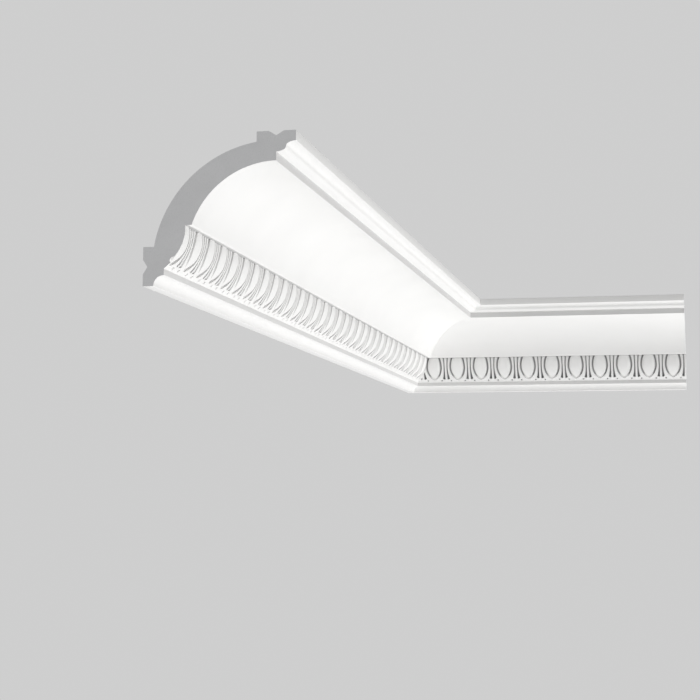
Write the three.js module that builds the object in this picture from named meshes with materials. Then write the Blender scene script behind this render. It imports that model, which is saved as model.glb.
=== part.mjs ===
// An inner corner of cove moulding with an egg-and-dart band.
//
// Two lengths of the same moulding meet at a 45 degree mitre where two walls and a ceiling meet.
// Each length is one moulded piece: a long one on the left wall and a short one on the back wall.
// The sizes are in millimetres and +Z is up. The origin is on the long length's wall bed, halfway
// along it. The left wall is the plane X = 0, and both lengths reach the ceiling with their tops.
//
// The section is drawn by two sizes: out, the distance from the wall, and drop, the distance
// below the ceiling. The third size, along, is measured from the corner of the two walls.

import * as THREE from 'three';
import { mergeVertices } from 'three/addons/utils/BufferGeometryUtils.js';

// Driving dimensions of the whole
const HEIGHT = 105;
const PROJECTION = 108.4;
const LONG_LENGTH = 1000;
const SHORT_LENGTH = 350;
const MITRE_GAP = 0.3;

// Section: the edge at the ceiling, down to the cove
const NOSE_DROP = 7.3;
const STEP_OUT = 94.5;
const STEP_TOP = 14.5;
const STEP_BOTTOM = 20.7;
const COVE_RADIUS = 63.2;
const COVE_BOTTOM = 63.2;

// Section: the carved band, the fillet and the little cavetto under it
const BAND_TOP = 63.3;
const BAND_BOTTOM = 93;
const FILLET_OUT = 15.2;
const FILLET_BOTTOM = 97.5;
const CAVETTO_RADIUS = HEIGHT - FILLET_BOTTOM;

// Section: the back, with a bed on the wall, a bed on the ceiling and a glue groove in each
const WALL_BED_TOP = 77.6;
const WALL_BED_DEPTH = 7.8;
const CEILING_BED_BACK = 80.5;
const BACK_ARC = { out: 92.7, drop: 92.6, radius: 86.3 };
const GLUE_GROOVE = { wallTop: 86.5, wallBottom: 96.7, ceilingBack: 89.1, ceilingFront: 99.9, depth: 3.2 };

// Egg-and-dart band: one egg and one dart repeat every PITCH
const PITCH = 29.7;
const LONG_FIRST_EGG = 4.45;
const SHORT_FIRST_EGG = 37.5;
const EGG = { halfWidth: 7.5, widest: 11.8, above: 16.4, below: 13.5, lowerPower: 1.7 };
const EGG_ARC = { radius: 30.7, out: 30.5, from: 1.2 };
const EGG_EDGE_DROP = 0.7;
const EGG_EDGE_REACH = 4.5;
const CHANNEL_WIDTH = 2.4;
const CHANNEL_MIDDLE = 1.25;
const CHANNEL_DEPTH = 1.9;
const SHELL_ARC = { radius: 39.1, out: 29.4 };
const LEDGE_TOP = 25.9;
const SLOT_OUTER = { top: 3.5, narrows: 2.4, flares: 3.8 };
const SLOT_INNER = { top: 1.35, narrows: 1.1, flares: 1.1 };
const SLOT_DEPTH = 1.5;
const SLOT_DEEPENS = 1.2;
const SLOT_END = 25;
const DART_DROP = 0.15;

// Fineness of the faceted solid
const COVE_STEPS = 12;
const BACK_STEPS = 12;
const CYMA_STEPS = 4;
const CAVETTO_STEPS = 5;
const BAND_ROWS = [0, 4.5, 10.5, 16.5, 21.5, LEDGE_TOP, BAND_BOTTOM - BAND_TOP];
const OUTLINE_STEPS = 90;
const PLAIN_THINNING = 4;
const SHORTEST_EDGE = 0.25;
const TIP_SPREAD = { floor: 0.45, edge: 0.18 };
const WELD = 1e-4;

const WHITE = { color: 0xf4f4f2, roughness: 0.62, metalness: 0 };

// Half width of the egg at a depth below the top of the band
function eggHalfWidth(depth) {
  const fall = depth - EGG.widest;
  const reach = fall < 0 ? EGG.above : EGG.below;
  const power = fall < 0 ? 2 : EGG.lowerPower;
  const share = Math.abs(fall) / reach;
  return share >= 1 ? 0 : EGG.halfWidth * (1 - share ** power) ** (1 / power);
}

// Right half of the egg's outline, as points across and down the band
function eggOutline() {
  const tip = EGG.widest + EGG.below;
  const points = [];
  for (let i = 0; i <= OUTLINE_STEPS; i += 1) {
    const depth = tip * Math.sin((i / OUTLINE_STEPS) * Math.PI / 2);
    points.push([eggHalfWidth(depth), depth]);
  }
  return points;
}

const OUTLINE = eggOutline();

// Distance from the egg's outline in the plane of the band, negative on the egg
function fromEgg(across, depth) {
  let nearest = Infinity;
  for (let i = 1; i < OUTLINE.length; i += 1) {
    const [ax, ay] = OUTLINE[i - 1];
    const [bx, by] = OUTLINE[i];
    const span = (bx - ax) ** 2 + (by - ay) ** 2;
    const along = ((across - ax) * (bx - ax) + (depth - ay) * (by - ay)) / span;
    const t = Math.min(1, Math.max(0, along));
    nearest = Math.min(nearest, Math.hypot(across - ax - t * (bx - ax), depth - ay - t * (by - ay)));
  }
  return across < eggHalfWidth(depth) ? -nearest : nearest;
}

// How far across from the egg's middle a line runs that keeps a distance from its outline
function offsetAcross(distance, depth) {
  let low = 0;
  let high = PITCH / 2;
  for (let i = 0; i < 30; i += 1) {
    const middle = (low + high) / 2;
    if (fromEgg(middle, depth) < distance) low = middle;
    else high = middle;
  }
  return low;
}

// Front of an egg along its middle, as a distance from the wall
function eggFront(depth) {
  const down = Math.max(0, depth - EGG_ARC.from);
  return EGG_ARC.out - EGG_ARC.radius + Math.sqrt(EGG_ARC.radius ** 2 - down ** 2);
}

// Front of the shells around the eggs, which ends in a sloping ledge above the fillet
function shellFront(depth) {
  const down = Math.min(depth, LEDGE_TOP);
  const crest = SHELL_ARC.out - SHELL_ARC.radius + Math.sqrt(SHELL_ARC.radius ** 2 - down ** 2);
  const share = Math.max(0, depth - LEDGE_TOP) / (BAND_BOTTOM - BAND_TOP - LEDGE_TOP);
  return crest + share * (FILLET_OUT - crest);
}

// Distance of a slot's outer and inner edge from the middle of the dart
function slotOuter(depth) {
  const down = depth / LEDGE_TOP;
  return SLOT_OUTER.top - SLOT_OUTER.narrows * down + SLOT_OUTER.flares * down ** 3;
}

function slotInner(depth) {
  const down = depth / LEDGE_TOP;
  return SLOT_INNER.top - SLOT_INNER.narrows * down + SLOT_INNER.flares * down ** 2;
}

// Distance from the wall of the carved front, for a place across from an egg's middle
function bandFront(across, depth) {
  const away = fromEgg(across, depth);
  const shell = shellFront(depth);
  if (away <= 0) {
    const inward = Math.min(1, -away / EGG_EDGE_REACH);
    return eggFront(depth) - EGG_EDGE_DROP * (1 - inward) ** 2;
  }
  if (away < CHANNEL_WIDTH) {
    const edge = eggFront(depth) - EGG_EDGE_DROP;
    const floor = shell - CHANNEL_DEPTH;
    if (away < CHANNEL_MIDDLE) return edge + (away / CHANNEL_MIDDLE) * (floor - edge);
    return floor + ((away - CHANNEL_MIDDLE) / (CHANNEL_WIDTH - CHANNEL_MIDDLE)) * CHANNEL_DEPTH;
  }
  const fromDart = PITCH / 2 - across;
  if (depth > SLOT_END) return shell;
  if (fromDart <= slotInner(depth) + WELD) return shell - DART_DROP;
  if (fromDart >= slotOuter(depth)) return shell;
  const middle = (slotInner(depth) + slotOuter(depth)) / 2;
  const share = 1 - Math.abs(fromDart - middle) / (slotOuter(depth) - middle);
  return shell - share * (SLOT_DEPTH + SLOT_DEEPENS * (depth / LEDGE_TOP) ** 2);
}

// Places across half a unit where the carving turns: egg, channel, shell, slot and dart. Where the
// egg and its channel have run out to their tips, their places stay apart by shares of the next.
function turningPlaces(depth) {
  const onBand = Math.min(depth, LEDGE_TOP);
  const shell = offsetAcross(CHANNEL_WIDTH, onBand);
  const floor = Math.max(offsetAcross(CHANNEL_MIDDLE, onBand), TIP_SPREAD.floor * shell);
  const edge = Math.max(offsetAcross(0, onBand), TIP_SPREAD.edge * shell);
  const outer = slotOuter(onBand);
  const inner = slotInner(onBand);
  const slots = [outer, (outer + inner) / 2, inner].map((fromDart) => PITCH / 2 - fromDart);
  return [0, edge, floor, shell, ...slots];
}

// Rows of the carved band, from its top to the fillet, for a number of eggs along the length. Each
// point keeps the number of its column, so that the same turn of the carving is joined from row to row.
function bandRows(firstEgg, units) {
  return BAND_ROWS.map((depth) => {
    const half = turningPlaces(depth).map((across) => ({ across, out: bandFront(across, depth) }));
    const mirrored = half.slice(1).reverse().map(({ across, out }) => ({ across: -across, out }));
    const unit = [...mirrored, ...half];
    const row = [];
    for (let egg = 0; egg < units; egg += 1) {
      unit.forEach(({ across, out }, i) => {
        const along = firstEgg + egg * PITCH + across;
        row.push({ along, out, drop: BAND_TOP + depth, column: egg * unit.length + i });
      });
    }
    return row;
  });
}

// What is left of a row after its start is cut off, where room() is below zero on what goes
function cutStart(row, room) {
  const last = row.findLastIndex((point) => room(point) < 0);
  if (last < 0) return row;
  const [a, b] = [row[last], row[last + 1]];
  const t = room(a) / (room(a) - room(b));
  const cut = {};
  for (const key of Object.keys(a)) cut[key] = a[key] + t * (b[key] - a[key]);
  const rest = row.slice(last + 1);
  return [cut, ...rest.slice(Math.abs(rest[0].along - cut.along) < SHORTEST_EDGE ? 1 : 0)];
}

// A row between the mitre, where its distance along is its distance out, and the square end
function cutRow(row, length) {
  const mitred = cutStart(row, ({ along, out }) => along - out - MITRE_GAP / Math.SQRT2);
  return cutStart(mitred.reverse(), ({ along }) => length - along).reverse();
}

// Points on an ellipse, as a step from its middle, without the first of them
function arc(out, drop, radiusOut, radiusDrop, from, to, steps) {
  const points = [];
  for (let i = 1; i <= steps; i += 1) {
    const angle = THREE.MathUtils.degToRad(from + ((to - from) * i) / steps);
    points.push([out + radiusOut * Math.cos(angle), drop + radiusDrop * Math.sin(angle)]);
  }
  return points;
}

function angleOf(centre, out, drop) {
  return THREE.MathUtils.radToDeg(Math.atan2(drop - centre.drop, out - centre.out));
}

// Outline of the section from the foot of the fillet, round the back, to the front of the soffit
function plainOutline() {
  const cymaHalf = (PROJECTION - STEP_OUT) / 2;
  const cymaMiddle = (NOSE_DROP + STEP_TOP) / 2;
  const cymaDrop = (STEP_TOP - NOSE_DROP) / 2;
  const cove = { out: STEP_OUT, drop: STEP_BOTTOM + COVE_RADIUS };
  const coveOut = cove.out - Math.sqrt(COVE_RADIUS ** 2 - (cove.drop - COVE_BOTTOM) ** 2);
  const backFrom = angleOf(BACK_ARC, WALL_BED_DEPTH, WALL_BED_TOP);
  const backDrop = BACK_ARC.drop - Math.sqrt(BACK_ARC.radius ** 2 - (CEILING_BED_BACK - BACK_ARC.out) ** 2);
  const backTo = angleOf(BACK_ARC, CEILING_BED_BACK, backDrop);
  const groove = GLUE_GROOVE;
  return [
    [FILLET_OUT, FILLET_BOTTOM],
    ...arc(FILLET_OUT, HEIGHT, CAVETTO_RADIUS, CAVETTO_RADIUS, -90, -180, CAVETTO_STEPS),
    [0, HEIGHT],
    [0, groove.wallBottom],
    [groove.depth, (groove.wallTop + groove.wallBottom) / 2],
    [0, groove.wallTop],
    [0, WALL_BED_TOP],
    [WALL_BED_DEPTH, WALL_BED_TOP],
    ...arc(BACK_ARC.out, BACK_ARC.drop, BACK_ARC.radius, BACK_ARC.radius, backFrom + 360, backTo + 360, BACK_STEPS),
    [CEILING_BED_BACK, 0],
    [groove.ceilingBack, 0],
    [(groove.ceilingBack + groove.ceilingFront) / 2, groove.depth],
    [groove.ceilingFront, 0],
    [PROJECTION, 0],
    [PROJECTION, NOSE_DROP],
    ...arc(PROJECTION, cymaMiddle, cymaHalf, cymaDrop, -90, -180, CYMA_STEPS),
    ...arc(STEP_OUT, cymaMiddle, cymaHalf, cymaDrop, 0, 90, CYMA_STEPS),
    [STEP_OUT, STEP_BOTTOM],
    ...arc(cove.out, cove.drop, COVE_RADIUS, COVE_RADIUS, -90, angleOf(cove, coveOut, COVE_BOTTOM), COVE_STEPS),
  ];
}

// Straight rows along the plain part of the section. Those next to the carved band have a point for
// each egg, and fewer away from it, so that no triangle is thin.
function plainRows(length) {
  const outline = plainOutline();
  return outline.map(([out, drop], i) => {
    const fromBand = Math.min(i, outline.length - 1 - i);
    const spans = Math.ceil(length / PITCH / PLAIN_THINNING ** fromBand);
    const start = out + MITRE_GAP / Math.SQRT2;
    const row = [];
    for (let step = 0; step <= spans; step += 1) {
      row.push({ along: start + ((length - start) * step) / spans, out, drop });
    }
    return row;
  });
}

// Triangles between two rows that run the same way, joined in the order of a key of their points
function strip(upper, lower, key) {
  const triangles = [];
  let i = 0;
  let j = 0;
  while (i < upper.length - 1 || j < lower.length - 1) {
    const upperNext = i < upper.length - 1 ? upper[i + 1][key] : Infinity;
    const lowerNext = j < lower.length - 1 ? lower[j + 1][key] : Infinity;
    if (upperNext <= lowerNext) {
      triangles.push([upper[i], lower[j], upper[i + 1]]);
      i += 1;
    } else {
      triangles.push([upper[i], lower[j], lower[j + 1]]);
      j += 1;
    }
  }
  return triangles;
}

// Flat face over a closed ring of points, one from each row
function endFace(ring, turn) {
  const flat = ring.map(({ out, drop }) => new THREE.Vector2(out, -drop));
  return THREE.ShapeUtils.triangulateShape(flat, []).map(([a, b, c]) => {
    const clockwise = THREE.ShapeUtils.area([flat[a], flat[b], flat[c]]) * turn < 0;
    return clockwise ? [ring[a], ring[c], ring[b]] : [ring[a], ring[b], ring[c]];
  });
}

// One closed solid: the carved band, the plain rows round the rest of the section, and both ends
function lengthOfMoulding(name, length, firstEgg, place, mirrored) {
  const units = Math.ceil((length - firstEgg) / PITCH) + 1;
  const band = bandRows(firstEgg, units).map((row) => cutRow(row, length));
  const rows = [...band, ...plainRows(length)];
  const triangles = rows.flatMap((row, i) => {
    const next = rows[(i + 1) % rows.length];
    return strip(row, next, i < band.length - 1 ? 'column' : 'along');
  });
  triangles.push(...endFace(rows.map((row) => row[0]), 1));
  triangles.push(...endFace(rows.map((row) => row[row.length - 1]), -1));
  const facing = mirrored ? triangles : triangles.map(([a, b, c]) => [a, c, b]);
  const geometry = new THREE.BufferGeometry();
  geometry.setAttribute('position', new THREE.Float32BufferAttribute(facing.flat().flatMap(place), 3));
  const welded = mergeVertices(geometry, WELD);
  welded.computeVertexNormals();
  const mesh = new THREE.Mesh(welded, new THREE.MeshStandardMaterial(WHITE));
  mesh.name = name;
  return mesh;
}

// The two lengths stand in the corner of the walls X = 0 and Y = 0, under the ceiling at Z = 0
const onLeftWall = ({ along, out, drop }) => [out, -along, -drop];
const onBackWall = ({ along, out, drop }) => [along, -out, -drop];

function longRun() {
  const lastEgg = LONG_LENGTH - LONG_FIRST_EGG;
  const firstEgg = lastEgg - Math.floor(lastEgg / PITCH) * PITCH;
  return lengthOfMoulding('long_run', LONG_LENGTH, firstEgg, onLeftWall, false);
}

function shortRun() {
  const firstEgg = SHORT_FIRST_EGG - Math.floor(SHORT_FIRST_EGG / PITCH) * PITCH;
  return lengthOfMoulding('short_run', SHORT_LENGTH, firstEgg, onBackWall, true);
}

const corner = new THREE.Group();
corner.name = 'cove_moulding_corner';
corner.add(longRun(), shortRun());
corner.position.set(0, LONG_LENGTH / 2, (GLUE_GROOVE.wallBottom + HEIGHT) / 2);
corner.updateMatrixWorld(true);

export default corner;
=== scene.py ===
# %% [markdown]
# # An inner corner of cove moulding with an egg-and-dart band
#
# A cove moulding covers the angle between a wall and the ceiling. This one is cast in hard foam and
# sprayed with white primer: a stepped edge at the ceiling, a wide cove, and under it a carved band
# of eggs and darts over a plain fillet. Two lengths meet at a mitre in the corner of a room.
# The lesson sweeps the section along each wall, carves the band as a height over a grid of points,
# saws both ends as the real lengths are sawn, and finishes the surfaces with nodes.

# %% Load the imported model
import math

import bmesh
import bpy
import numpy as np
from mathutils import Matrix, Vector


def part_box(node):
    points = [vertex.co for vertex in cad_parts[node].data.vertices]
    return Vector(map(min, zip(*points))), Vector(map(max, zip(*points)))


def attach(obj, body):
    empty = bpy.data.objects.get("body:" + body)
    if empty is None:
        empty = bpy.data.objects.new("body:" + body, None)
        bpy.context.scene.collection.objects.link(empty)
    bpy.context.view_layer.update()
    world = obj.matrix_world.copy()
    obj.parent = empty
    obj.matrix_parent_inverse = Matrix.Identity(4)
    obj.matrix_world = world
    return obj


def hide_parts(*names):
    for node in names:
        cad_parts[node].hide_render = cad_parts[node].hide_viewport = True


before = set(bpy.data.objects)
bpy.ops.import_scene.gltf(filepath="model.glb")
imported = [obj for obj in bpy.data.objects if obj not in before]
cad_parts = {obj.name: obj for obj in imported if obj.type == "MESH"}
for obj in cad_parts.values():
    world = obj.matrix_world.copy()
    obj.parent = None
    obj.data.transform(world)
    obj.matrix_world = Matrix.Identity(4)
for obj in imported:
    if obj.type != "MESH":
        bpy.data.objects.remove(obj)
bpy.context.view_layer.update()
LONG_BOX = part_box("long_run")
SHORT_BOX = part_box("short_run")

# %% [markdown]
# ## The camera
#
# The corner is seen from below and in front, through a long lens, so that the left length runs away
# from the viewer and the right one crosses the picture. The lens is worked out from the size of the
# picture and the distance, in pixels, at which one metre at one metre would show. Setting the camera
# first means that every later step can be judged in its own frame.

# %% Camera
PICTURE_WIDTH = 700
FOCAL_PIXELS = 1631.3
SENSOR_WIDTH = 36.0
NEAREST_SEEN, FARTHEST_SEEN = 0.05, 60.0
CAMERA_PLACE = Vector((0.3837, -1.5564, -0.1604))
CAMERA_TURN = math.radians(12.64)
CAMERA_TILT = math.radians(5.78)
CAMERA_ROLL = math.radians(0.27)


def make_camera():
    data = bpy.data.cameras.new("picture_camera")
    data.sensor_width = SENSOR_WIDTH
    data.lens = FOCAL_PIXELS / PICTURE_WIDTH * SENSOR_WIDTH
    data.clip_start = NEAREST_SEEN
    data.clip_end = FARTHEST_SEEN
    camera = bpy.data.objects.new("picture_camera", data)
    turned = Matrix.Rotation(CAMERA_TURN, 4, "Z")
    tilted = Matrix.Rotation(math.pi / 2 + CAMERA_TILT, 4, "X")
    rolled = Matrix.Rotation(CAMERA_ROLL, 4, "Z")
    camera.matrix_world = Matrix.Translation(CAMERA_PLACE) @ turned @ tilted @ rolled
    bpy.context.scene.collection.objects.link(camera)
    bpy.context.scene.camera = camera
    return camera


camera = make_camera()
print(f"lens {camera.data.lens:.1f} mm, camera {CAMERA_PLACE.length:.2f} m from the origin")

# %% [markdown]
# ## The sizes of the section
#
# A moulding is drawn as a section: how far each point stands out from the wall, and how far it
# drops below the ceiling. A plasterer would cut that outline in sheet metal and run it along wet
# plaster, and a foam moulding is pressed in a mould of the same shape. The values are millimetres,
# as a joiner would give them, and they become metres only when a mesh is made.

# %% Section sizes, in millimetres
HEIGHT = 105.0
PROJECTION = 108.4
LONG_LENGTH = 1000.0
SHORT_LENGTH = 350.0

NOSE_DROP = 7.3
STEP_OUT = 94.5
STEP_TOP = 14.5
STEP_BOTTOM = 20.7
COVE_RADIUS = 63.2
COVE_BOTTOM = 63.2
SOFFIT_OUT, SOFFIT_DROP = 32.0, 63.26

BAND_TOP = 63.3
BAND_BOTTOM = 93.0
BAND_HEIGHT = BAND_BOTTOM - BAND_TOP
FILLET_OUT = 15.2
FILLET_BOTTOM = 97.5
CAVETTO_RADIUS = HEIGHT - FILLET_BOTTOM

WALL_BED_TOP = 77.6
WALL_BED_DEPTH = 7.8
CEILING_BED_BACK = 80.5
BACK_ARC_OUT, BACK_ARC_DROP, BACK_ARC_RADIUS = 92.7, 92.6, 86.3
WALL_GROOVE_TOP, WALL_GROOVE_BOTTOM = 86.5, 96.7
CEILING_GROOVE_BACK, CEILING_GROOVE_FRONT = 89.1, 99.9
GROOVE_DEPTH = 3.2
ARRIS_RADIUS = 0.35
print(f"section: {HEIGHT:.0f} mm high, {PROJECTION:.1f} mm out, with a band of {BAND_HEIGHT:.1f} mm")

# %% [markdown]
# ## The front of the section
#
# The front starts at the ceiling: an upright nose, a little wave called a cyma, a step, the wide
# cove and a narrow soffit over the carved band. Round stretches are arcs of an ellipse: the cove is
# a part of a circle, and the cyma is two quarter ellipses. Arcs need only a centre, two radii and
# two angles, so they can be changed as easily as a drawing.

# %% Front of the section
COVE_STEPS = 40
CYMA_STEPS = 9


def arc(out, drop, radius_out, radius_drop, start, end, steps):
    """Points on an ellipse between two angles in degrees, without the first one."""
    angles = np.radians(start + (end - start) * np.arange(1, steps + 1) / steps)
    return [(out + radius_out * math.cos(a), drop + radius_drop * math.sin(a)) for a in angles]


def angle_of(centre_out, centre_drop, out, drop):
    return math.degrees(math.atan2(drop - centre_drop, out - centre_out))


def front_outline():
    """From the ceiling's front edge, down the cyma and the cove, to the soffit."""
    cyma_half = (PROJECTION - STEP_OUT) / 2
    cyma_middle = (NOSE_DROP + STEP_TOP) / 2
    cyma_drop = (STEP_TOP - NOSE_DROP) / 2
    cove_drop = STEP_BOTTOM + COVE_RADIUS
    cove_out = STEP_OUT - math.sqrt(COVE_RADIUS**2 - (cove_drop - COVE_BOTTOM) ** 2)
    cove_end = angle_of(STEP_OUT, cove_drop, cove_out, COVE_BOTTOM)
    return [
        (PROJECTION, 0.0),
        (PROJECTION, NOSE_DROP),
        *arc(PROJECTION, cyma_middle, cyma_half, cyma_drop, -90, -180, CYMA_STEPS),
        *arc(STEP_OUT, cyma_middle, cyma_half, cyma_drop, 0, 90, CYMA_STEPS),
        (STEP_OUT, STEP_BOTTOM),
        *arc(STEP_OUT, cove_drop, COVE_RADIUS, COVE_RADIUS, -90, cove_end, COVE_STEPS),
        (SOFFIT_OUT, SOFFIT_DROP),
    ]


print(f"front of the section: {len(front_outline())} points")

# %% [markdown]
# ## The back of the section
#
# The back never shows in a room, but the sawn end shows its outline: a flat bed on the wall and one
# on the ceiling, each with a V groove for the glue, and a hollow between them that saves foam. It
# starts at the foot of the band and ends at the ceiling, so front, back and band close a ring.

# %% Back of the section
BACK_STEPS = 24
CAVETTO_STEPS = 10


def back_outline():
    """From the foot of the band, over the two beds with their glue grooves, to the ceiling."""
    start = angle_of(BACK_ARC_OUT, BACK_ARC_DROP, WALL_BED_DEPTH, WALL_BED_TOP)
    rise = math.sqrt(BACK_ARC_RADIUS**2 - (CEILING_BED_BACK - BACK_ARC_OUT) ** 2)
    end = angle_of(BACK_ARC_OUT, BACK_ARC_DROP, CEILING_BED_BACK, BACK_ARC_DROP - rise)
    back = (BACK_ARC_OUT, BACK_ARC_DROP, BACK_ARC_RADIUS, BACK_ARC_RADIUS)
    cavetto = (FILLET_OUT, HEIGHT, CAVETTO_RADIUS, CAVETTO_RADIUS)
    return [
        (FILLET_OUT, BAND_BOTTOM + ARRIS_RADIUS),
        (FILLET_OUT, FILLET_BOTTOM),
        *arc(*cavetto, -90, -180, CAVETTO_STEPS),
        (0.0, HEIGHT),
        (0.0, WALL_GROOVE_BOTTOM),
        (GROOVE_DEPTH, (WALL_GROOVE_TOP + WALL_GROOVE_BOTTOM) / 2),
        (0.0, WALL_GROOVE_TOP),
        (0.0, WALL_BED_TOP),
        (WALL_BED_DEPTH, WALL_BED_TOP),
        *arc(*back, start + 360, end + 360, BACK_STEPS),
        (CEILING_BED_BACK, 0.0),
        (CEILING_GROOVE_BACK, 0.0),
        ((CEILING_GROOVE_BACK + CEILING_GROOVE_FRONT) / 2, GROOVE_DEPTH),
        (CEILING_GROOVE_FRONT, 0.0),
    ]


print(f"back of the section: {len(back_outline())} points")

# %% [markdown]
# ## Softened corners
#
# No real edge is a perfect corner: the mould has small radii and the spray fills them. A bevel
# modifier could round the edges of the finished mesh, but rounding the outline does it once for the
# whole length. Each sharp turn is replaced by a small quadratic curve, which catches a thin light.

# %% Softened outline
ARRIS_STEPS = 3
ARRIS_SHARE = 0.4
SHARP_TURN = math.radians(35)


def soften(outline):
    """Round each sharp corner of an open outline with a small curve."""
    points = [Vector(p) for p in outline]
    soft = [points[0]]
    for before, corner, after in zip(points, points[1:], points[2:]):
        incoming = (before - corner).normalized()
        outgoing = (after - corner).normalized()
        turn = math.pi - incoming.angle(outgoing)
        if turn < SHARP_TURN:
            soft.append(corner)
            continue
        shortest = min((before - corner).length, (after - corner).length)
        cut = min(ARRIS_RADIUS, ARRIS_SHARE * shortest)
        start, end = corner + incoming * cut, corner + outgoing * cut
        for i in range(ARRIS_STEPS + 1):
            t = i / ARRIS_STEPS
            soft.append(start * (1 - t) ** 2 + corner * (2 * t * (1 - t)) + end * t**2)
    soft.append(points[-1])
    return [tuple(p) for p in soft]


PLAIN_OUTLINE = soften(back_outline() + front_outline())
print(f"plain outline: {len(PLAIN_OUTLINE)} points")

# %% [markdown]
# ## The outline of an egg
#
# An egg-and-dart band repeats one unit: an egg in a deep channel, a shell round it, and a dart
# between two slots. The egg's outline is half an ellipse above its widest line, cut off by the
# soffit, and a slightly pointed curve below it. The power under 2 is what gives the point.

# %% Egg outline
PITCH = 29.7
LONG_LAST_EGG = 4.45
SHORT_FIRST_EGG = 37.5
EGG_HALF_WIDTH = 7.5
EGG_WIDEST = 11.8
EGG_ABOVE = 16.4
EGG_BELOW = 13.0
EGG_UPPER_POWER, EGG_LOWER_POWER = 2.0, 1.7
OUTLINE_STEPS = 240


def egg_half_width(depth):
    """Half width of the egg at a depth below the top of the band."""
    fall = np.asarray(depth, float) - EGG_WIDEST
    share = np.clip(np.where(fall < 0, -fall / EGG_ABOVE, fall / EGG_BELOW), 0, 1)
    power = np.where(fall < 0, EGG_UPPER_POWER, EGG_LOWER_POWER)
    return EGG_HALF_WIDTH * (1 - share**power) ** (1 / power)


outline_depth = (EGG_WIDEST + EGG_BELOW) * np.sin(np.linspace(0, math.pi / 2, OUTLINE_STEPS + 1))
EGG_OUTLINE = np.column_stack([egg_half_width(outline_depth), outline_depth])
print(f"egg: {2 * EGG_HALF_WIDTH:.0f} mm wide, {EGG_WIDEST + EGG_BELOW:.1f} mm tall")

# %% [markdown]
# ## The distance from an egg
#
# A carver cuts the channel round the egg with a gouge at one even width, so its section depends only
# on how far a point is from the egg's edge. That distance is the shortest one to the short straight
# pieces of the outline. With it, the egg's dome, the channel and the shell's rim are one formula
# each. The second helper turns it round: it halves an interval until it finds the line on which the
# distance has a given value.

# %% Distance from the egg
HALVINGS = 30


def from_egg(across, depth):
    """Distance from the egg's edge in the plane of the band, below zero on the egg."""
    across, depth = np.broadcast_arrays(np.asarray(across, float), np.asarray(depth, float))
    start, end = EGG_OUTLINE[:-1], EGG_OUTLINE[1:]
    span = end - start
    to_point = np.stack([across, depth], -1)[..., None, :] - start
    share = np.clip((to_point * span).sum(-1) / (span**2).sum(-1), 0, 1)
    nearest = np.linalg.norm(to_point - share[..., None] * span, axis=-1).min(-1)
    return np.where(across < egg_half_width(depth), -nearest, nearest)


def offset_across(distance, depth):
    """How far across a line runs that keeps a distance from the egg's edge."""
    low = np.zeros_like(depth)
    high = np.full_like(depth, PITCH / 2)
    for _ in range(HALVINGS):
        middle = (low + high) / 2
        inside = from_egg(middle, depth) < distance
        low = np.where(inside, middle, low)
        high = np.where(inside, high, middle)
    return low


print(f"the unit's edge is {float(from_egg(PITCH / 2, EGG_WIDEST)):.2f} mm from the egg at its widest")

# %% [markdown]
# ## The fronts of the egg and the shell
#
# The carved front is one height over the plane of the band: the distance from the wall. The eggs and
# the shells between them both curve back towards the wall as they go down, each on its own arc. The
# egg is a shallow dome, whose edge lies a little behind its middle at the top and almost level with
# it near the tip. Below the arc, the shell turns back in a sloping ledge that meets the fillet.

# %% Fronts of the egg and the shell
EGG_ARC_RADIUS, EGG_ARC_OUT, EGG_ARC_FROM = 30.7, 30.5, 1.2
EGG_EDGE_DROP_ABOVE, EGG_EDGE_DROP_BELOW = 0.7, 0.05
EDGE_RISES_FROM, EDGE_RISES_TO = 11.0, 19.0
EGG_EDGE_REACH = 4.5
SHELL_ARC_RADIUS, SHELL_ARC_OUT = 39.1, 29.4
LEDGE_TOP = 25.9


def egg_front(depth):
    down = np.clip(depth - EGG_ARC_FROM, 0, None)
    return EGG_ARC_OUT - EGG_ARC_RADIUS + np.sqrt(EGG_ARC_RADIUS**2 - down**2)


def egg_edge_drop(depth):
    """How far the egg's edge lies behind its middle, less and less towards its tip."""
    share = np.clip((depth - EDGE_RISES_FROM) / (EDGE_RISES_TO - EDGE_RISES_FROM), 0, 1)
    return EGG_EDGE_DROP_ABOVE + (EGG_EDGE_DROP_BELOW - EGG_EDGE_DROP_ABOVE) * share


def shell_front(depth):
    down = np.minimum(depth, LEDGE_TOP)
    crest = SHELL_ARC_OUT - SHELL_ARC_RADIUS + np.sqrt(SHELL_ARC_RADIUS**2 - down**2)
    share = np.clip(depth - LEDGE_TOP, 0, None) / (BAND_HEIGHT - LEDGE_TOP)
    return crest + share * (FILLET_OUT - crest)


print(f"egg stands {float(egg_front(0.0) - shell_front(0.0)):.1f} mm in front of the shells at the top")

# %% [markdown]
# ## The gouge and its channel
#
# The channel and the slots are cut with the same gouge, so they share one section: soft lips, nearly
# upright sides and a flat floor. Two powers shape it, one for the floor and one for the lips. The
# channel keeps its width and depth beside the egg, and gets smaller under the egg's tip.

# %% Gouge and channel
CHANNEL_WIDTH = 2.8
CHANNEL_DEPTH = 2.5
TAPER_TOP, TAPER_BOTTOM = 21.5, 26.5
TIP_WIDTH_SHARE = 0.85
TIP_DEPTH_SHARE = 0.4
GOUGE_FLOOR_POWER = 3.2
GOUGE_LIP_POWER = 0.7


def gouge_section(share):
    """How deep a gouge cuts, from 0 to 1, at a share of the way across its cut."""
    off_middle = np.clip(np.abs(1 - 2 * share), 0, 1)
    return (1 - off_middle**GOUGE_FLOOR_POWER) ** GOUGE_LIP_POWER


def toward_tip(depth, at_tip):
    """A share of the channel's full size, from 1 beside the egg to its value under the tip."""
    share = np.clip((depth - TAPER_TOP) / (TAPER_BOTTOM - TAPER_TOP), 0, 1)
    return 1 - (1 - at_tip) * share


print(f"channel: {CHANNEL_WIDTH} mm wide and {CHANNEL_DEPTH} mm deep beside the egg")

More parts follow.
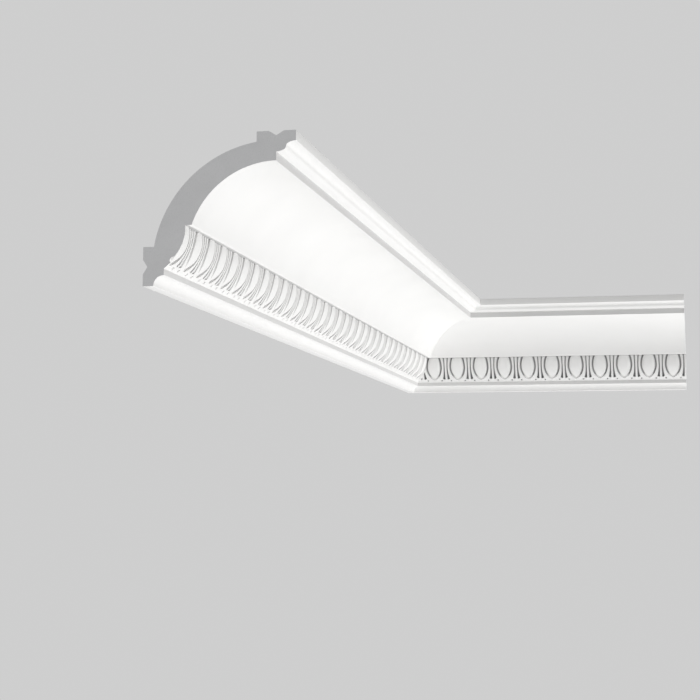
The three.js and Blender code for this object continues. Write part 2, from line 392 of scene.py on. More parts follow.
# %% [markdown]
# ## The slots and their pockets
#
# A dart stands between two slots. A slot's two sides are drawn as sums of powers of the depth, so it
# can be narrow at the waist and flared at the foot. It deepens towards a pocket that ends at a
# slanted wall, and the pocket's dark corner is what the eye takes for the dart's barbs.

# %% Slots and pockets
SLOT_OUTER_FACTORS = (3.5, -2.4, 0.0, 3.8)
SLOT_INNER_FACTORS = (1.3, -1.1, 0.9)
SLOT_DEPTH = 2.3
SLOT_DEEPENS = 1.2
POCKET_OUTER_W, POCKET_OUTER_DEPTH = 4.9, 25.3
POCKET_INNER_W, POCKET_INNER_DEPTH = 1.1, 26.8
POCKET_WALL = 0.45


def slot_side(depth, factors):
    """How far a slot's side lies from the dart's middle, as a sum of powers of the depth."""
    down = np.minimum(depth, LEDGE_TOP) / LEDGE_TOP
    return sum(factor * down**power for power, factor in enumerate(factors))


def slot_cut(w, depth):
    """How deep the slot beside the dart is cut, at a distance w from the dart's middle."""
    outer = slot_side(depth, SLOT_OUTER_FACTORS)
    inner = slot_side(depth, SLOT_INNER_FACTORS)
    share = gouge_section((w - inner) / (outer - inner))
    slope = (POCKET_INNER_DEPTH - POCKET_OUTER_DEPTH) / (POCKET_OUTER_W - POCKET_INNER_W)
    end = POCKET_OUTER_DEPTH + (POCKET_OUTER_W - w) * slope
    open_share = np.clip((end - depth) / POCKET_WALL, 0, 1)
    return share * open_share * (SLOT_DEPTH + SLOT_DEEPENS * (depth / LEDGE_TOP) ** 2)


print(f"slots are {SLOT_DEPTH:.1f} mm deep at the top and {SLOT_DEPTH + SLOT_DEEPENS:.1f} mm at the foot")

# %% [markdown]
# ## The nicks
#
# In the ledge under the shells, two small three-cornered nicks beside each dart mark where the
# shells' lines would meet. A carver stabs each one with the corner of a chisel. Here it is a
# triangle that points down, with short steep walls, taken off the same front.

# %% Nicks
NICK_INNER_W, NICK_OUTER_W = 4.6, 7.4
NICK_TOP, NICK_BOTTOM = 26.9, 28.5
NICK_DEPTH = 2.6
NICK_WALL_SHARE = 0.18


def nick_cut(w, depth):
    """The three-cornered nick in the ledge, pointing down."""
    half = (NICK_OUTER_W - NICK_INNER_W) / 2
    off_middle = np.abs(w - (NICK_OUTER_W + NICK_INNER_W) / 2)
    below_top = depth - NICK_TOP
    above_point = (NICK_BOTTOM - depth) - off_middle * (NICK_BOTTOM - NICK_TOP) / half
    inside = np.minimum(below_top, above_point)
    return NICK_DEPTH * np.clip(inside / (NICK_WALL_SHARE * (NICK_BOTTOM - NICK_TOP)), 0, 1)


print(f"nicks: {NICK_OUTER_W - NICK_INNER_W:.1f} mm wide, {NICK_BOTTOM - NICK_TOP:.1f} mm tall")

# %% [markdown]
# ## The whole front
#
# Each point is on the egg, in the channel, or on the ground of shell and dart. The rims of the
# shells are rounded over a little, and the dart lies just behind them with a faint crown. The same
# function says how far a point lies in a hollow, because the primer paints shade there later.

# %% Whole front
RIM_ROUNDING = 0.12
RIM_ROUND_REACH = 0.7
DART_DROP = 0.15
DART_CROWN = 0.12


def rim_near(distance):
    """How far the rounding of a rim lies below it, at a distance from the rim."""
    return RIM_ROUNDING * np.clip(1 - distance / RIM_ROUND_REACH, 0, 1) ** 2


def band_front(across, depth):
    """Distance of the carved front from the wall, and how far it lies in a hollow."""
    away = from_egg(across, depth)
    w = PITCH / 2 - across
    shell = shell_front(depth)
    edge_drop = egg_edge_drop(depth)
    egg = egg_front(depth) - edge_drop * (1 - np.clip(-away / EGG_EDGE_REACH, 0, 1)) ** 2

    width = CHANNEL_WIDTH * toward_tip(depth, TIP_WIDTH_SHARE)
    across_channel = np.clip(away / width, 0, 1)
    edge = egg_front(depth) - edge_drop
    brink = edge + across_channel * (shell - edge)
    cut_depth = CHANNEL_DEPTH * toward_tip(depth, TIP_DEPTH_SHARE)
    channel = brink - cut_depth * gouge_section(across_channel)

    inner = slot_side(depth, SLOT_INNER_FACTORS)
    rim = rim_near(away - width) + rim_near(np.abs(w - slot_side(depth, SLOT_OUTER_FACTORS)))
    crown = DART_DROP + DART_CROWN * (w / inner) ** 2
    on_dart = (w < inner) & (depth < POCKET_INNER_DEPTH)
    cut = slot_cut(w, depth) + nick_cut(w, depth)
    ground = shell - np.where(on_dart, crown, rim) - cut

    front = np.where(away <= 0, egg, np.where(away < width, channel, ground))
    # The hollow sets how much painted shade the primer puts on a point.
    hollow = np.clip((np.where(away < width, brink, shell) - front) / CHANNEL_DEPTH, 0, 1)
    return front, np.where(away <= 0, 0.0, hollow)


middle_of_channel = EGG_HALF_WIDTH + CHANNEL_WIDTH / 2
print(f"channel floor: {float(band_front(middle_of_channel, EGG_WIDEST)[0]):.1f} mm from the wall")

# %% [markdown]
# ## A grid that follows the carving
#
# A plain square grid would cut across every edge of the carving and leave it ragged. Here each row
# keeps one depth, but its points sit on the lines where the carving turns: the egg's edge, the
# lines round the channel, and the sides of the slots. Inside a gouge cut the points crowd towards
# its steep sides. On the ledge the slots' columns move out to the nicks, so that they serve both.

# %% Columns of half a unit
EGG_SHARES = np.arange(7) / 7
CHANNEL_SHARES = np.array([0, 0.03, 0.09, 0.22, 0.5, 0.78, 0.91, 0.97])
SHELL_SHARES = np.arange(4) / 4
SLOT_SHARES = np.array([0, 0.04, 0.16, 0.5, 0.84, 0.96])
DART_SHARES = np.array([0, 0.5, 1])
EDGE_SPREAD = 0.18
NARROWEST_LIP = 0.8


def stretch(start, end, shares):
    """Columns between two lines that run down the band."""
    return [start + share * (end - start) for share in shares]


def half_columns(depth):
    """Columns across half a unit, from the egg's middle to the dart's."""
    width = CHANNEL_WIDTH * toward_tip(depth, TIP_WIDTH_SHARE)
    lip = np.maximum(offset_across(width, depth), NARROWEST_LIP)
    channel = []
    for share in CHANNEL_SHARES:
        least = (EDGE_SPREAD + (1 - EDGE_SPREAD) * share) * lip
        channel.append(np.maximum(offset_across(share * width, depth), least))
    outer = slot_side(depth, SLOT_OUTER_FACTORS)
    inner = slot_side(depth, SLOT_INNER_FACTORS)
    to_nicks = np.clip((depth - LEDGE_TOP) / (NICK_TOP - LEDGE_TOP), 0, 1)
    slot_start = PITCH / 2 - (outer + to_nicks * (NICK_OUTER_W - outer))
    slot_end = PITCH / 2 - (inner + to_nicks * (NICK_INNER_W - inner))
    middle = np.zeros_like(depth)
    return [
        *stretch(middle, channel[0], EGG_SHARES),
        *channel,
        *stretch(lip, slot_start, SHELL_SHARES),
        *stretch(slot_start, slot_end, SLOT_SHARES),
        *stretch(slot_end, middle + PITCH / 2, DART_SHARES),
    ]


print(f"half a unit: {len(half_columns(np.array([EGG_WIDEST])))} columns")

# %% [markdown]
# ## Rows, and one whole unit
#
# The rows lie closer together near the foot, where the pockets and nicks are small. A unit is
# worked out from the middle of the egg to the middle of the dart and then mirrored, so both halves
# are alike and each point is worked out once.

# %% One unit of the band
CLOSER_ROWS_FROM = 20.0
ROW_STRETCHES = (
    (0.0, CLOSER_ROWS_FROM, 24),
    (CLOSER_ROWS_FROM, LEDGE_TOP, 12),
    (LEDGE_TOP, NICK_BOTTOM, 8),
)
upper_rows = [np.linspace(start, end, rows, endpoint=False) for start, end, rows in ROW_STRETCHES]
ROW_DEPTHS = np.concatenate([*upper_rows, [NICK_BOTTOM, BAND_HEIGHT]])


def unit_grid():
    """Across, out and hollow for one unit, from dart to dart, row by row."""
    half = np.stack(half_columns(ROW_DEPTHS), axis=1)
    depth = np.repeat(ROW_DEPTHS[:, None], half.shape[1], axis=1)
    out, hollow = band_front(half, depth)
    across = np.concatenate([-half[:, :0:-1], half[:, :-1]], axis=1)
    mirrored = [np.concatenate([a[:, :0:-1], a[:, :-1]], axis=1) for a in (out, hollow)]
    return across, *mirrored


UNIT_ACROSS, UNIT_OUT, UNIT_HOLLOW = unit_grid()
print(f"one unit: {UNIT_ACROSS.shape[0]} rows of {UNIT_ACROSS.shape[1]} points")

# %% [markdown]
# ## The saw cuts
#
# Every row of points runs straight along a wall. A mitre box cuts both lengths at 45 degrees, which
# in the section's own sizes is simple: a point stays if it is further along than it stands out.
# The far end is cut square. Cutting the rows before any face is made leaves clean edges, with no
# slivers from a boolean.

# %% Saw cuts
ALONG, OUT, DROP, HOLLOW, KEY = range(5)
MITRE_GAP = 0.06
MITRE_ROOM = MITRE_GAP / math.sqrt(2)
SHORTEST_EDGE = 0.12


def cut_start(row, room):
    """What is left of a row after the saw takes its start, where the room is below zero."""
    below = np.flatnonzero(room < 0)
    if not len(below):
        return row
    last = below[-1]
    share = room[last] / (room[last] - room[last + 1])
    cut = row[last] + share * (row[last + 1] - row[last])
    too_close = int(abs(row[last + 1][ALONG] - cut[ALONG]) < SHORTEST_EDGE)
    return np.vstack([cut, row[last + 1 + too_close :]])


def cut_row(row, length):
    """A row with its mitred start and its square far end."""
    row = cut_start(row, row[:, ALONG] - row[:, OUT] - MITRE_ROOM)
    from_far_end = row[::-1]
    return cut_start(from_far_end, length - from_far_end[:, ALONG])[::-1]


print(f"the mitre joint is {MITRE_GAP} mm wide")

# %% [markdown]
# ## The rows of the band
#
# The band's rows repeat the unit from one end of the wall to the other, and run on past both ends,
# so that the saw has something to cut. Each point takes five numbers with it: how far it is along,
# out and down, its hollow, and its column's number. The top row counts as a hollow because the
# soffit shades it, and so it gets painted shade.

# %% Rows of the band
# Painted shade for the top row of the band, under the soffit.
EGG_TOP_PAINTED_SHADE = 0.88


def band_rows(first_egg, length):
    units = math.ceil((length - first_egg) / PITCH) + 1
    starts = first_egg + PITCH * np.arange(units)
    rows = []
    for i, depth in enumerate(ROW_DEPTHS):
        along = (starts[:, None] + UNIT_ACROSS[i]).ravel()
        out = np.tile(UNIT_OUT[i], units)
        drop = np.full_like(along, BAND_TOP + depth)
        hollow = np.tile(UNIT_HOLLOW[i], units)
        if i == 0:
            hollow = np.maximum(hollow, EGG_TOP_PAINTED_SHADE)
        key = np.arange(len(along), dtype=float)
        rows.append(cut_row(np.column_stack([along, out, drop, hollow, key]), length))
    return rows


print(f"rows on the band: {len(ROW_DEPTHS)}")

# %% [markdown]
# ## The rows of the plain part
#
# The plain part has one row for each point of the softened outline. Nothing is carved there, so a
# row can start at the mitre and end at the square cut with even steps between. The step's face, the
# fillet and the soffit get a hollow of their own, and with it a share of the primer's painted
# shade, for the shade that falls in these corners.

# %% Rows of the plain part
SAME = 1e-4
# Shares of painted shade for the corners of the plain part.
FILLET_PAINTED_SHADE = 0.66
STEP_PAINTED_SHADE = 0.72
SOFFIT_PAINTED_SHADE = 0.8


def corner_painted_shade(out, drop):
    """The hollow of a point of the plain part, which sets its painted shade: the soffit, the step and the
    fillet lie in shaded corners.
    """
    on_step = abs(out - STEP_OUT) < ARRIS_RADIUS and STEP_TOP - SAME < drop <= STEP_BOTTOM
    on_fillet = abs(out - FILLET_OUT) < SAME and drop > BAND_BOTTOM
    on_soffit = abs(drop - SOFFIT_DROP) < SAME
    return max(STEP_PAINTED_SHADE * on_step, FILLET_PAINTED_SHADE * on_fillet, SOFFIT_PAINTED_SHADE * on_soffit)


def plain_rows(length):
    rows = []
    spans = math.ceil(length / PITCH)
    for out, drop in PLAIN_OUTLINE:
        along = np.linspace(out + MITRE_ROOM, length, spans + 1)
        fixed = np.tile([out, drop, corner_painted_shade(out, drop), 0.0], (spans + 1, 1))
        rows.append(np.column_stack([along, fixed]))
    return rows


print(f"rows on the plain part: {len(plain_rows(SHORT_LENGTH))}")

# %% [markdown]
# ## Zipping two rows together
#
# Two neighbouring rows are zipped together: while both have the same next column they share a
# four-sided face, and where one row has more points than the other it gets a triangle. On the band
# the columns are matched by their number, and elsewhere by how far along the wall they are.

# %% Zip two rows


def zip_rows(upper, lower, upper_at, lower_at, key):
    """Faces between two rows, by the order of a key of their points."""
    faces = []
    i = j = 0
    while i < len(upper) - 1 or j < len(lower) - 1:
        upper_next = upper[i + 1][key] if i < len(upper) - 1 else math.inf
        lower_next = lower[j + 1][key] if j < len(lower) - 1 else math.inf
        a, b = upper_at + i, lower_at + j
        if key == KEY and abs(upper_next - lower_next) < SAME:
            faces.append((a, b, b + 1, a + 1))
            i, j = i + 1, j + 1
        elif upper_next <= lower_next:
            faces.append((a, b, a + 1))
            i += 1
        else:
            faces.append((a, b, b + 1))
            j += 1
    return faces


zipped = zip_rows([[0.0], [1.0], [2.0]], [[0.0], [2.0]], 0, 3, ALONG)
print(f"a row of three points and a row of two give {len(zipped)} triangles")

# %% [markdown]
# ## A closed mesh
#
# The last row joins the first, which closes the tube, and a flat face closes each sawn end. The end
# faces take the second material, the bare core. The hollow of each point is stored on the mesh, so
# that a material can find the bottoms of the carving and the corners, and paint shade there.

# %% Mesh of one length


def length_faces(rows, band_count, starts):
    """The faces round a length, with the two sawn ends last."""
    faces = []
    for i, row in enumerate(rows):
        j = (i + 1) % len(rows)
        key = KEY if i < band_count - 1 else ALONG
        faces += zip_rows(row.tolist(), rows[j].tolist(), starts[i], starts[j], key)
    faces.append(tuple(starts[: len(rows)]))
    faces.append(tuple(starts[1:] - 1)[::-1])
    return faces


def make_length(name, length, first_egg, place):
    """One closed length of moulding, with its faces and its sawn ends."""
    band = band_rows(first_egg, length)
    rows = band + plain_rows(length)
    starts = np.cumsum([0] + [len(row) for row in rows])
    points = np.vstack(rows)
    places = [place(*point) for point in points[:, : DROP + 1].tolist()]
    mesh = bpy.data.meshes.new(name)
    mesh.from_pydata(places, [], length_faces(rows, len(band), starts))
    # Stored for the primer's painted shade in hollows and corners.
    hollow = mesh.attributes.new("hollow", "FLOAT", "POINT")
    hollow.data.foreach_set("value", points[:, HOLLOW].astype(np.float32))
    mesh.polygons.foreach_set("use_smooth", [True] * len(mesh.polygons))
    for end in (-2, -1):
        mesh.polygons[len(mesh.polygons) + end].material_index = 1
        mesh.polygons[len(mesh.polygons) + end].use_smooth = False
    return mesh


print(f"a closed length has {len(ROW_DEPTHS) + len(PLAIN_OUTLINE)} rows round it")

# %% [markdown]
# ## Hanging the two lengths in their corner
#
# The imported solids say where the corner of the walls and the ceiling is: the wall is the long
# length's lowest X, the back wall is the short length's highest Y, and the ceiling is the top of
# both. Each length is placed by those planes, so it can't drift from the solid that it dresses.

# %% Places on the walls
MM = 0.001
WALL_X = LONG_BOX[0][0]
WALL_Y = SHORT_BOX[1][1]
CEILING_Z = LONG_BOX[1][2]


def on_left_wall(along, out, drop):
    return (WALL_X + out * MM, WALL_Y - along * MM, CEILING_Z - drop * MM)


def on_back_wall(along, out, drop):
    return (WALL_X + along * MM, WALL_Y - out * MM, CEILING_Z - drop * MM)


print(f"walls at X {WALL_X:.3f} m and Y {WALL_Y:.3f} m, ceiling at Z {CEILING_Z:.3f} m")

# %% [markdown]
# ## The two pieces
#
# The left wall's places mirror the back wall's, so the faces of one length come out inside out.
# Blender turns them outwards in one step. An edge with only one face would be a hole, so they are
# counted, and an angle decides which edges of the mesh are shaded sharp.

# %% The two pieces
SMOOTH_BELOW = math.radians(32)


def add_piece(mesh, node):
    """Put a length in the scene in place of its solid."""
    built = bmesh.new()
    built.from_mesh(mesh)
    bmesh.ops.recalc_face_normals(built, faces=built.faces)
    open_edges = sum(not edge.is_manifold for edge in built.edges)
    built.to_mesh(mesh)
    built.free()
    mesh.set_sharp_from_angle(angle=SMOOTH_BELOW)
    piece = bpy.data.objects.new(mesh.name, mesh)
    bpy.context.scene.collection.objects.link(piece)
    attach(piece, "root")
    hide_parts(node)
    triangles = sum(len(polygon.vertices) - 2 for polygon in mesh.polygons)
    print(f"{mesh.name}: {triangles} triangles, {open_edges} open edges")
    return piece


long_first_egg = (LONG_LENGTH - LONG_LAST_EGG) % PITCH
short_first_egg = SHORT_FIRST_EGG % PITCH
long_piece = add_piece(
    make_length("long_moulding", LONG_LENGTH, long_first_egg, on_left_wall), "long_run"
)
short_piece = add_piece(
    make_length("short_moulding", SHORT_LENGTH, short_first_egg, on_back_wall), "short_run"
)

# %% [markdown]
# ## Finishes: helpers for nodes
#
# Every finish here is a set of nodes, and clicking them together in code gets long. Three helpers
# keep it short: one makes an empty group with named sockets, one adds a node and fills or links its
# inputs, and one mixes two colours.

# %% Node helpers


def new_group(name, inputs, outputs):
    """An empty node group with named sockets; each is (name, type, default)."""
    group = bpy.data.node_groups.new(name, "ShaderNodeTree")
    for label, kind, default in inputs:
        socket = group.interface.new_socket(label, in_out="INPUT", socket_type=kind)
        if default is not None:
            socket.default_value = default
    for label, kind in outputs:
        group.interface.new_socket(label, in_out="OUTPUT", socket_type=kind)
    return group, group.nodes.new("NodeGroupInput"), group.nodes.new("NodeGroupOutput")


def add_node(tree, kind, inputs=None, **settings):
    """A node with its settings, and its inputs set to values or linked to sockets."""
    node = tree.nodes.new(kind)
    for name, value in settings.items():
        setattr(node, name, value)
    for name, value in (inputs or {}).items():
        if isinstance(value, bpy.types.NodeSocket):
            tree.links.new(value, node.inputs[name])
        else:
            node.inputs[name].default_value = value
    return node


def mix_colour(tree, share, first, second):
    """The socket of a colour between two; each input is a value or a socket."""
    node = add_node(tree, "ShaderNodeMix", {"Factor": share}, data_type="RGBA")
    colours = {socket.identifier: socket for socket in node.inputs}
    for identifier, value in (("A_Color", first), ("B_Color", second)):
        if isinstance(value, bpy.types.NodeSocket):
            tree.links.new(value, colours[identifier])
        else:
            colours[identifier].default_value = value
    return next(socket for socket in node.outputs if socket.identifier == "Result_Color")


print("node helpers:", [helper.__name__ for helper in (new_group, add_node, mix_colour)])

# %% [markdown]
# ## Cloudy tone
#
# No sprayed or cast surface is quite even, so primer, foam and floor share a cloudy tone, kept as a
# node group. A soft noise is spread to run from -1 to 1 and makes the colour a little lighter or
# darker. It reads the object's own coordinates, in metres, so a scale of 20 gives clouds of 50 mm.

# %% Cloudy tone
FLOAT, COLOUR, VECTOR = "NodeSocketFloat", "NodeSocketColor", "NodeSocketVector"
CLOUD_LOW, CLOUD_HIGH = 0.25, 0.75
CLOUD_DETAIL = 5.0
CLOUD_ROUGHNESS = 0.55


def cloudy_tone():
    """A colour, made a little lighter and darker in soft clouds."""
    group, given, result = new_group(
        "cloudy tone",
        [("Place", VECTOR, None), ("Color", COLOUR, (0.8, 0.8, 0.8, 1)), ("Scale", FLOAT, 20.0),
         ("Amount", FLOAT, 0.03)],
        [("Color", COLOUR), ("Cloud", FLOAT)],
    )
    clouds = add_node(group, "ShaderNodeTexNoise", {
        "Vector": given.outputs["Place"], "Scale": given.outputs["Scale"],
        "Detail": CLOUD_DETAIL, "Roughness": CLOUD_ROUGHNESS})
    spread = add_node(group, "ShaderNodeMapRange", {
        "Value": clouds.outputs["Fac"], "From Min": CLOUD_LOW, "From Max": CLOUD_HIGH,
        "To Min": -1.0, "To Max": 1.0})
    change = add_node(group, "ShaderNodeMath", {
        0: spread.outputs["Result"], 1: given.outputs["Amount"], 2: 1.0}, operation="MULTIPLY_ADD")
    toned = add_node(group, "ShaderNodeVectorMath", {
        0: given.outputs["Color"], "Scale": change.outputs["Value"]}, operation="SCALE")
    group.links.new(toned.outputs["Vector"], result.inputs["Color"])
    group.links.new(clouds.outputs["Fac"], result.inputs["Cloud"])
    return group


CLOUDY_TONE = cloudy_tone()
print("node group:", CLOUDY_TONE.name)

# %% [markdown]
# ## Fine grain
#
# The skin of a spray and the cells of a foam are both too small to model, and differ mainly in
# pattern: noise for the skin, and a Voronoi pattern for the cells. One group holds both, with a
# socket that chooses between them, and puts out heights for a bump and a mask of the cells' pits.

# %% Fine grain
SKIN_DETAIL = 2.0
SKIN_ROUGHNESS = 0.5
PIT_EDGE = 0.35


def fine_grain():
    """Heights of a fine skin of grains or cells, and a mask of its pits."""
    group, given, result = new_group(
        "fine grain",
        [("Place", VECTOR, None), ("Grains per metre", FLOAT, 1500.0), ("Cells", FLOAT, 0.0)],
        [("Height", FLOAT), ("Pits", FLOAT)],
    )
    skin = add_node(group, "ShaderNodeTexNoise", {
        "Vector": given.outputs["Place"], "Scale": given.outputs["Grains per metre"],
        "Detail": SKIN_DETAIL, "Roughness": SKIN_ROUGHNESS})
    cells = add_node(group, "ShaderNodeTexVoronoi", {
        "Vector": given.outputs["Place"], "Scale": given.outputs["Grains per metre"]})
    height = add_node(group, "ShaderNodeMix", {
        "Factor": given.outputs["Cells"], "A": skin.outputs["Fac"],
        "B": cells.outputs["Distance"]}, data_type="FLOAT")
    pits = add_node(group, "ShaderNodeMapRange", {
        "Value": cells.outputs["Distance"], "From Min": PIT_EDGE, "From Max": 0.0})
    group.links.new(height.outputs["Result"], result.inputs["Height"])
    group.links.new(pits.outputs["Result"], result.inputs["Pits"])
    return group


FINE_GRAIN = fine_grain()
print("node group:", FINE_GRAIN.name)

# %% [markdown]
# ## Starting a material
#
# Each finish starts from the Principled shader that Blender puts in a new material, and places the
# groups with its own values. The shader itself stays outside the groups, so that an export to other
# programs can read it.

# %% Material helpers


def new_material(name):
    material = bpy.data.materials.new(name)
    material.use_nodes = True
    return material, material.node_tree, material.node_tree.nodes["Principled BSDF"]


def place_group(tree, group, inputs):
    return add_node(tree, "ShaderNodeGroup", inputs, node_tree=group)


print("groups to place:", [group.name for group in bpy.data.node_groups])

# %% [markdown]
# ## White primer
#
# Factory primer is a matt, slightly warm white. In the bottoms of the carving it is made much greyer
# and a little rougher: the tone stands in for part of the deep shade there, which the lights alone
# don't give. The hollow stored on the mesh gives the mask, and a power keeps it to the floors. The
# cloudy tone keeps the wide cove from looking like plain plastic, and a very low bump gives the skin.

# %% White primer
PRIMER_WHITE = (0.875, 0.872, 0.862, 1)
# The grey below is painted shade, mixed into the white where the hollow mask is high.
PRIMER_PAINTED_SHADE = (0.19, 0.19, 0.194, 1)
SHADE_MASK_POWER = 3.8
PRIMER_CLOUDS_PER_METRE = 22.0
PRIMER_CLOUD_AMOUNT = 0.012
PRIMER_CLOUD_LOW, PRIMER_CLOUD_HIGH = 0.3, 0.7
PRIMER_ROUGHNESS_LOW, PRIMER_ROUGHNESS_HIGH = 0.56, 0.66
ROUGHER_IN_HOLLOWS = 0.15
PRIMER_GRAINS_PER_METRE = 1400.0
PRIMER_BUMP = 0.00002
PRIMER_BUMP_STRENGTH = 0.6
PRIMER_SPECULAR = 0.35


def white_primer():
    material, tree, surface = new_material("white_primer_coat")
    place = add_node(tree, "ShaderNodeTexCoord").outputs["Object"]
    hollow = add_node(tree, "ShaderNodeAttribute", attribute_name="hollow").outputs["Fac"]
    # Painted shade: the primer is greyed in the bottoms of the carving and in the corners.
    share = add_node(tree, "ShaderNodeMath", {0: hollow, 1: SHADE_MASK_POWER}, operation="POWER")
    tone = mix_colour(tree, share.outputs["Value"], PRIMER_WHITE, PRIMER_PAINTED_SHADE)
    clouds = place_group(tree, CLOUDY_TONE, {
        "Place": place, "Color": tone, "Scale": PRIMER_CLOUDS_PER_METRE,
        "Amount": PRIMER_CLOUD_AMOUNT})
    tree.links.new(clouds.outputs["Color"], surface.inputs["Base Color"])
    gloss = add_node(tree, "ShaderNodeMapRange", {
        "Value": clouds.outputs["Cloud"], "From Min": PRIMER_CLOUD_LOW,
        "From Max": PRIMER_CLOUD_HIGH, "To Min": PRIMER_ROUGHNESS_LOW,
        "To Max": PRIMER_ROUGHNESS_HIGH})
    rough = add_node(tree, "ShaderNodeMath", {
        0: hollow, 1: ROUGHER_IN_HOLLOWS, 2: gloss.outputs["Result"]}, operation="MULTIPLY_ADD")
    tree.links.new(rough.outputs["Value"], surface.inputs["Roughness"])
    grain = place_group(tree, FINE_GRAIN, {
        "Place": place, "Grains per metre": PRIMER_GRAINS_PER_METRE, "Cells": 0.0})
    bump = add_node(tree, "ShaderNodeBump", {
        "Height": grain.outputs["Height"], "Strength": PRIMER_BUMP_STRENGTH,
        "Distance": PRIMER_BUMP})
    tree.links.new(bump.outputs["Normal"], surface.inputs["Normal"])
    surface.inputs["Specular IOR Level"].default_value = PRIMER_SPECULAR
    return material


PRIMER = white_primer()
print("finish:", PRIMER.name)

# %% [markdown]
# ## The sawn core
#
# Where the lengths are sawn, the core shows: a dense grey foam of fine closed cells, with no coat
# on it. The cells come from the same grain group with its cell pattern turned on; their pits sit a
# little lower and are painted darker, for the shade that falls in them.

# %% Sawn core
CORE_GREY = (0.84, 0.842, 0.85, 1)
# The darker grey of the pits is painted shade.
CORE_PIT_SHADE = (0.66, 0.662, 0.67, 1)
CORE_CELLS_PER_METRE = 1900.0
CORE_CLOUDS_PER_METRE = 60.0
CORE_CLOUD_AMOUNT = 0.03
CORE_ROUGHNESS, CORE_PIT_ROUGHNESS = 0.8, 0.95
CORE_BUMP = 0.0001
CORE_BUMP_STRENGTH = 0.5


def sawn_core():
    material, tree, surface = new_material("sawn_core")
    place = add_node(tree, "ShaderNodeTexCoord").outputs["Object"]
    grain = place_group(tree, FINE_GRAIN, {
        "Place": place, "Grains per metre": CORE_CELLS_PER_METRE, "Cells": 1.0})
    # Painted shade: the cells' pits are made darker.
    pitted = mix_colour(tree, grain.outputs["Pits"], CORE_GREY, CORE_PIT_SHADE)
    clouds = place_group(tree, CLOUDY_TONE, {
        "Place": place, "Color": pitted, "Scale": CORE_CLOUDS_PER_METRE,
        "Amount": CORE_CLOUD_AMOUNT})
    tree.links.new(clouds.outputs["Color"], surface.inputs["Base Color"])
    rough = add_node(tree, "ShaderNodeMapRange", {
        "Value": grain.outputs["Pits"], "To Min": CORE_ROUGHNESS, "To Max": CORE_PIT_ROUGHNESS})
    tree.links.new(rough.outputs["Result"], surface.inputs["Roughness"])
    bump = add_node(tree, "ShaderNodeBump", {
        "Height": grain.outputs["Height"], "Strength": CORE_BUMP_STRENGTH,
        "Distance": CORE_BUMP})
    tree.links.new(bump.outputs["Normal"], surface.inputs["Normal"])
    return material


CORE = sawn_core()
for piece in (long_piece, short_piece):
    piece.data.materials.append(PRIMER)
    piece.data.materials.append(CORE)
print("each piece has", [material.name for material in long_piece.data.materials])

# %% [markdown]
# ## The floor
#
# The moulding hangs under a ceiling, so the pale floor lies a room's height below it, out of the
# picture, and throws light up. Seen from above it would look greyer than it is beside the lit
# moulding, so it glows a little, for the camera only, and gives no more light for that.

# %% Floor
ROOM_HEIGHT = 2.6
FLOOR_HALF = 12.0
FLOOR_GREY = (0.86, 0.86, 0.86, 1)
FLOOR_CLOUDS_PER_METRE = 1.5
FLOOR_CLOUD_AMOUNT = 0.01
FLOOR_ROUGHNESS = 0.7
FLOOR_LIFT = 0.18


def floor_finish():
    material, tree, surface = new_material("pale_floor")
    place = add_node(tree, "ShaderNodeTexCoord").outputs["Object"]
    clouds = place_group(tree, CLOUDY_TONE, {
        "Place": place, "Color": FLOOR_GREY, "Scale": FLOOR_CLOUDS_PER_METRE,
        "Amount": FLOOR_CLOUD_AMOUNT})
    tree.links.new(clouds.outputs["Color"], surface.inputs["Base Color"])
    surface.inputs["Roughness"].default_value = FLOOR_ROUGHNESS
    seen = add_node(tree, "ShaderNodeLightPath").outputs["Is Camera Ray"]
    lift = add_node(tree, "ShaderNodeMath", {0: seen, 1: FLOOR_LIFT}, operation="MULTIPLY")
    surface.inputs["Emission Color"].default_value = (1, 1, 1, 1)
    tree.links.new(lift.outputs["Value"], surface.inputs["Emission Strength"])
    return material


def pale_floor():
    level = CEILING_Z - ROOM_HEIGHT
    sides = ((-1, -1), (1, -1), (1, 1), (-1, 1))
    mesh = bpy.data.meshes.new("floor")
    mesh.from_pydata([(x * FLOOR_HALF, y * FLOOR_HALF, level) for x, y in sides], [], [(0, 1, 2, 3)])
    mesh.materials.append(floor_finish())
    floor = bpy.data.objects.new("floor", mesh)
    bpy.context.scene.collection.objects.link(floor)
    return floor


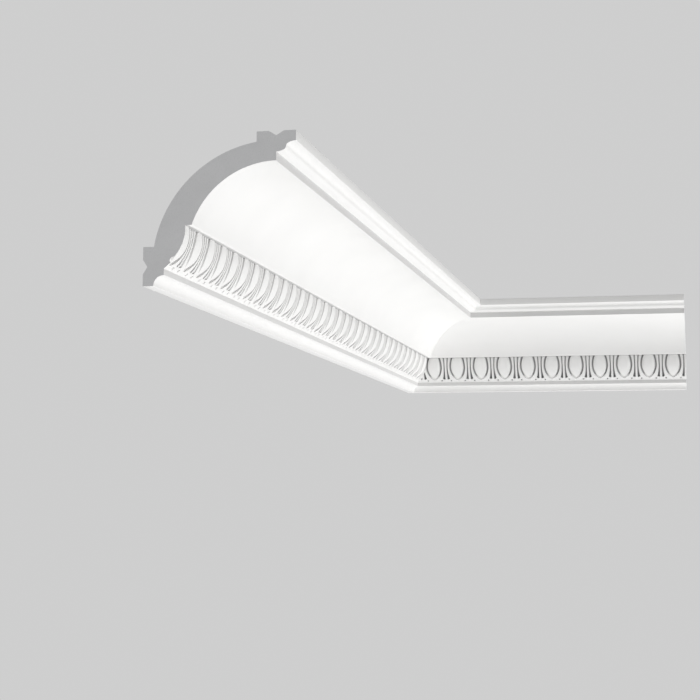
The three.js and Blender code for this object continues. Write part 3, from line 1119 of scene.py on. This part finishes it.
floor = pale_floor()
print(f"{floor.name}: {2 * FLOOR_HALF:.0f} m wide, {ROOM_HEIGHT} m below the ceiling")

# %% [markdown]
# ## The lights
#
# Three wide soft lights are enough. Two stand low, one in front and one to the right, which makes
# the undersides brightest, as in a room lit by its windows and its floor. The third is behind and
# above, and keeps the hidden back readable. All of them point at the corner.

# %% Lights
AIM = Vector((0.1, 0.15, 0.05))
LIGHT_WIDTH = 1.8
LIGHTS = {
    "below_front": {"place": (1.1, -0.7, -2.0), "watts": 24.0},
    "low_right": {"place": (2.2, 1.0, -1.5), "watts": 31.0},
    "behind": {"place": (-2.4, 2.2, 1.8), "watts": 70.0},
}


def soft_light(name, place, watts):
    place = Vector(place)
    data = bpy.data.lights.new(name, "AREA")
    data.shape = "DISK"
    data.size = LIGHT_WIDTH
    data.energy = watts
    lamp = bpy.data.objects.new(name, data)
    lamp.location = place
    lamp.rotation_euler = (AIM - place).to_track_quat("-Z", "Y").to_euler()
    lamp.visible_camera = False
    bpy.context.scene.collection.objects.link(lamp)


for name, light in LIGHTS.items():
    soft_light(name, **light)
print("lights:", list(LIGHTS))

# %% [markdown]
# ## The surroundings
#
# The surroundings are a plain white, dimmer for the light they give than for the eye, so that the
# white object still has shade. The Standard view shows the colours as they were set, without the
# softer whites of Blender's usual view.

# %% Surroundings
SURROUND_GIVES = 0.43
SURROUND_SHOWS = 0.62


def surroundings():
    world = bpy.data.worlds.new("white_surroundings")
    world.use_nodes = True
    tree = world.node_tree
    seen = add_node(tree, "ShaderNodeLightPath").outputs["Is Camera Ray"]
    level = add_node(tree, "ShaderNodeMapRange", {
        "Value": seen, "To Min": SURROUND_GIVES, "To Max": SURROUND_SHOWS})
    backdrop = tree.nodes["Background"]
    backdrop.inputs["Color"].default_value = (1, 1, 1, 1)
    tree.links.new(level.outputs["Result"], backdrop.inputs["Strength"])
    bpy.context.scene.world = world


surroundings()
bpy.context.scene.view_settings.view_transform = "Standard"
print("surroundings give", SURROUND_GIVES, "and show", SURROUND_SHOWS)
